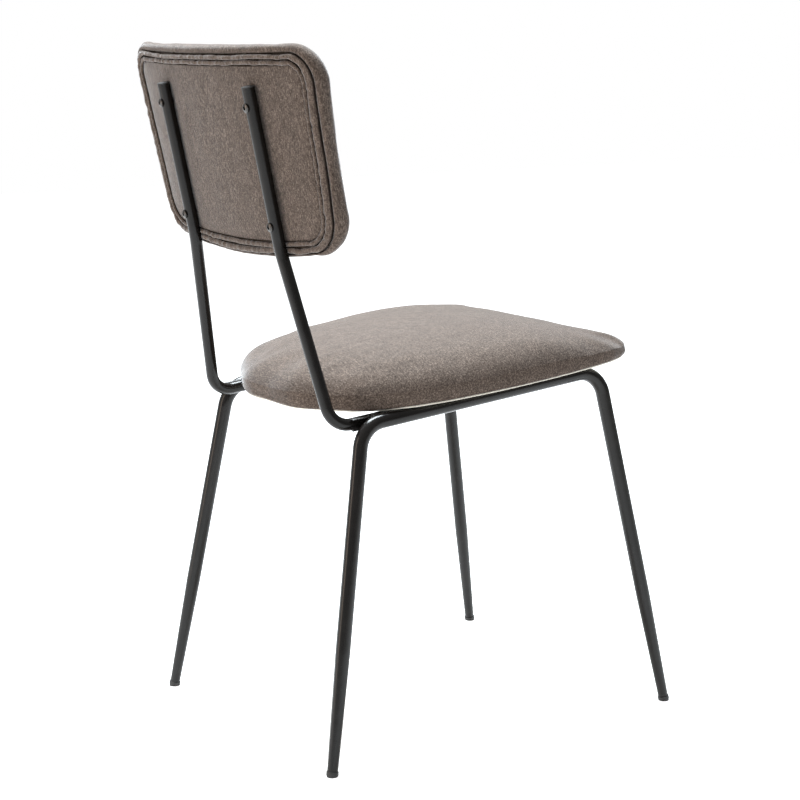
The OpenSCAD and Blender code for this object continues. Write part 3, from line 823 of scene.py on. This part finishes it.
def shade_grooves(obj, limit=0.6):
    """Gives the faces whose seam value is over the limit the near-black seam material, as painted
    shade in the seam.
    """
    obj.data.materials.append(GROOVE_SHADE)
    seam = np.zeros(len(obj.data.vertices))
    obj.data.attributes["seam"].data.foreach_get("value", seam)
    for f in obj.data.polygons:
        if np.mean(seam[list(f.vertices)]) > limit:
            f.material_index = 1


def add_piece(obj, look, *stands_for):
    """Gives a new piece its look, its body and the CAD nodes that it replaces."""
    obj.data.materials.clear()
    obj.data.materials.append(LOOKS[look])
    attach(obj, "root")
    if stands_for:
        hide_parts(*stands_for)


# the CAD nodes that stay in view wear the look of their slot; foam is always hidden
slot_of = {s["node"]: s["material_slot"] for s in frame["record"]["subparts"]}
for node, obj in frame["nodes"].items():
    if slot_of[node] in LOOKS:
        for slot in obj.material_slots:
            slot.material = LOOKS[slot_of[node]]

# ---------------------------------------------------------------- upholstery
seat = make_seat()
add_piece(seat, "seat_fabric", "seat_cover", "seat_foam")

back = make_back()
add_piece(back, "back_fabric", "back_cover", "back_foam")

panel = make_panel()
add_piece(panel, "back_fabric", "back_rear_panel")

outer_welt = make_welt("outer_welt_roll", SEAM_OUT, SEAM_MID, 3.6, 2.4, 1.0)
add_piece(outer_welt, "welt_fabric", "back_outer_welt")
inner_welt = make_welt("inner_welt_roll", SEAM_MID, SEAM_IN, 3.1, 2.4, 4.0)
add_piece(inner_welt, "welt_fabric", "back_inner_welt")
# painted shade: the faces deepest in the seams of the back, panel and welts turn near-black
for obj in (back, panel, outer_welt, inner_welt):
    shade_grooves(obj)

dust, dust_size, dust_area = make_dust_cloth()
add_piece(dust, "lining", "seat_dust_cover")
add_piece(make_lining_edge(), "lining")

# ---------------------------------------------------------------- floor, light, camera
FLOOR_HALF = 8
floor = mesh_object(
    "floor",
    [(x * FLOOR_HALF, y * FLOOR_HALF, 0) for x, y in ((-1, -1), (1, -1), (1, 1), (-1, 1))],
    [(0, 1, 2, 3)],
)
pale = Look("pale_floor").set(Roughness=0.9, Specular_IOR_Level=0.0,
                              Base_Color=(0.55, 0.55, 0.55, 1),
                              Emission_Color=(1, 1, 1, 1), Emission_Strength=0.85)
floor.data.materials.append(pale.mat)

# a white room, brighter above and on the chair's left behind; the camera sees it plain white
WORLD_DARK, WORLD_BRIGHT = 0.17, 0.72
BRIGHT_SIDE = Vector((0.45, 0.58, 0.68))
world = bpy.data.worlds.new("studio")
world.use_nodes = True
tree = world.node_tree
way = tree.nodes.new("ShaderNodeTexCoord").outputs["Generated"]
facing = tree.nodes.new("ShaderNodeVectorMath")
facing.operation = "DOT_PRODUCT"
facing.inputs[1].default_value = BRIGHT_SIDE
tree.links.new(way, facing.inputs[0])
glow = tree.nodes.new("ShaderNodeMapRange")
glow.inputs["From Min"].default_value = -1.0
glow.inputs["To Min"].default_value = WORLD_DARK
glow.inputs["To Max"].default_value = WORLD_BRIGHT
tree.links.new(facing.outputs["Value"], glow.inputs["Value"])
seen = tree.nodes.new("ShaderNodeMix")
seen.inputs[3].default_value = 1.0
tree.links.new(tree.nodes.new("ShaderNodeLightPath").outputs["Is Camera Ray"], seen.inputs[0])
tree.links.new(glow.outputs["Result"], seen.inputs[2])
tree.links.new(seen.outputs[0], tree.nodes["Background"].inputs["Strength"])
tree.nodes["Background"].inputs["Color"].default_value = (1, 1, 1, 1)
scene.world = world


AIM_Z = 0.5


def softbox(name, direction, distance, width, height, power, colour):
    """A rectangular light in a direction from the chair's middle, turned towards it."""
    light = bpy.data.lights.new(name, "AREA")
    light.shape = "RECTANGLE"
    light.size, light.size_y = width, height
    light.energy = power
    light.color = colour
    obj = bpy.data.objects.new(name, light)
    scene.collection.objects.link(obj)
    aim = Vector((0, 0, AIM_Z))
    obj.location = aim + direction.normalized() * distance
    obj.rotation_euler = (aim - obj.location).to_track_quat("-Z", "Y").to_euler()


softbox("key", Vector((0.36, -0.08, 0.92)), 3.0, 1.8, 1.8, 410, (0.87, 0.95, 1.0))
softbox("strip", Vector((0.19, 0.98, 0.15)), 3.0, 0.9, 2.4, 30, (1.0, 0.80, 0.64))

# the camera's side and height, in degrees, what it looks at and from how far
AZ, EL = math.radians(235.0), math.radians(10.7)
TARGET = Vector((0, -0.089, 0.378))
DISTANCE = 2.5836
BACKWARD = Vector((math.sin(AZ) * math.cos(EL), -math.cos(AZ) * math.cos(EL), math.sin(EL)))

camera_data = bpy.data.cameras.new("camera")
camera_data.sensor_width = 36
camera_data.lens = 88.767
camera_data.shift_x = -0.0684
camera_data.shift_y = 0.006
camera = bpy.data.objects.new("camera", camera_data)
scene.collection.objects.link(camera)
camera.location = TARGET + BACKWARD * DISTANCE
camera.rotation_euler = BACKWARD.to_track_quat("Z", "Y").to_euler()
scene.camera = camera
scene.view_settings.view_transform = "Standard"
